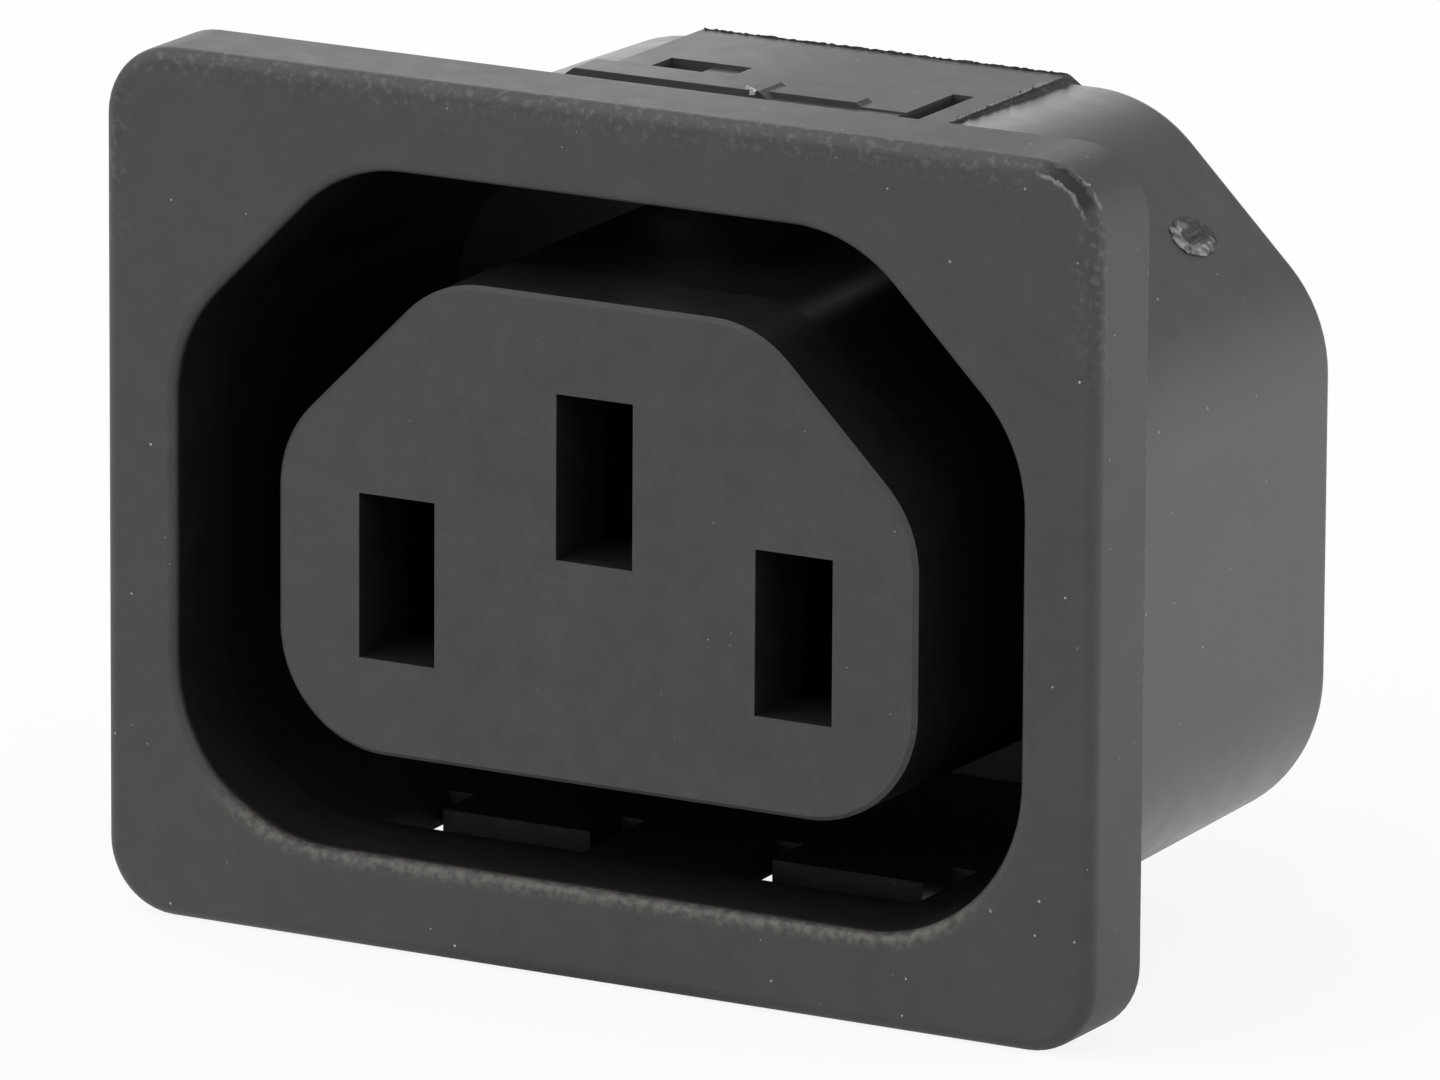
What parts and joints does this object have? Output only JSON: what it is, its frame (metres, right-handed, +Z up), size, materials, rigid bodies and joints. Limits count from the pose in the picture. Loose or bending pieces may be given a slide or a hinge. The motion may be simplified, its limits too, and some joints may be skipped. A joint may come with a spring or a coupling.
{
  "type": "appliance outlet socket",
  "caption": "Black snap-in panel outlet with a flanged housing, a deep shrouded cavity round a slotted core, and spring contacts that end in quick-connect tabs at the back.",
  "frame": {"origin": "centre of the front plate's front face, midway between the plate's sides and between its top and bottom", "axes": "+X to the right for a user who faces the outlet, +Y into the panel, +Z up, with the earth slot uppermost"},
  "size_m": [0.0348, 0.0275, 0.0278],
  "materials": {
    "housing_plastic": "black moulded thermoplastic, finely textured on the front face and satin on the body",
    "cover_plastic": "black moulded thermoplastic, satin",
    "contact_brass": "folded spring brass strip, bright"
  },
  "bodies": {
    "root": {"housing": "housing_plastic", "rear_cover": "cover_plastic", "contact_line": "contact_brass", "contact_neutral": "contact_brass", "contact_earth": "contact_brass"}
  },
  "joints": []
}
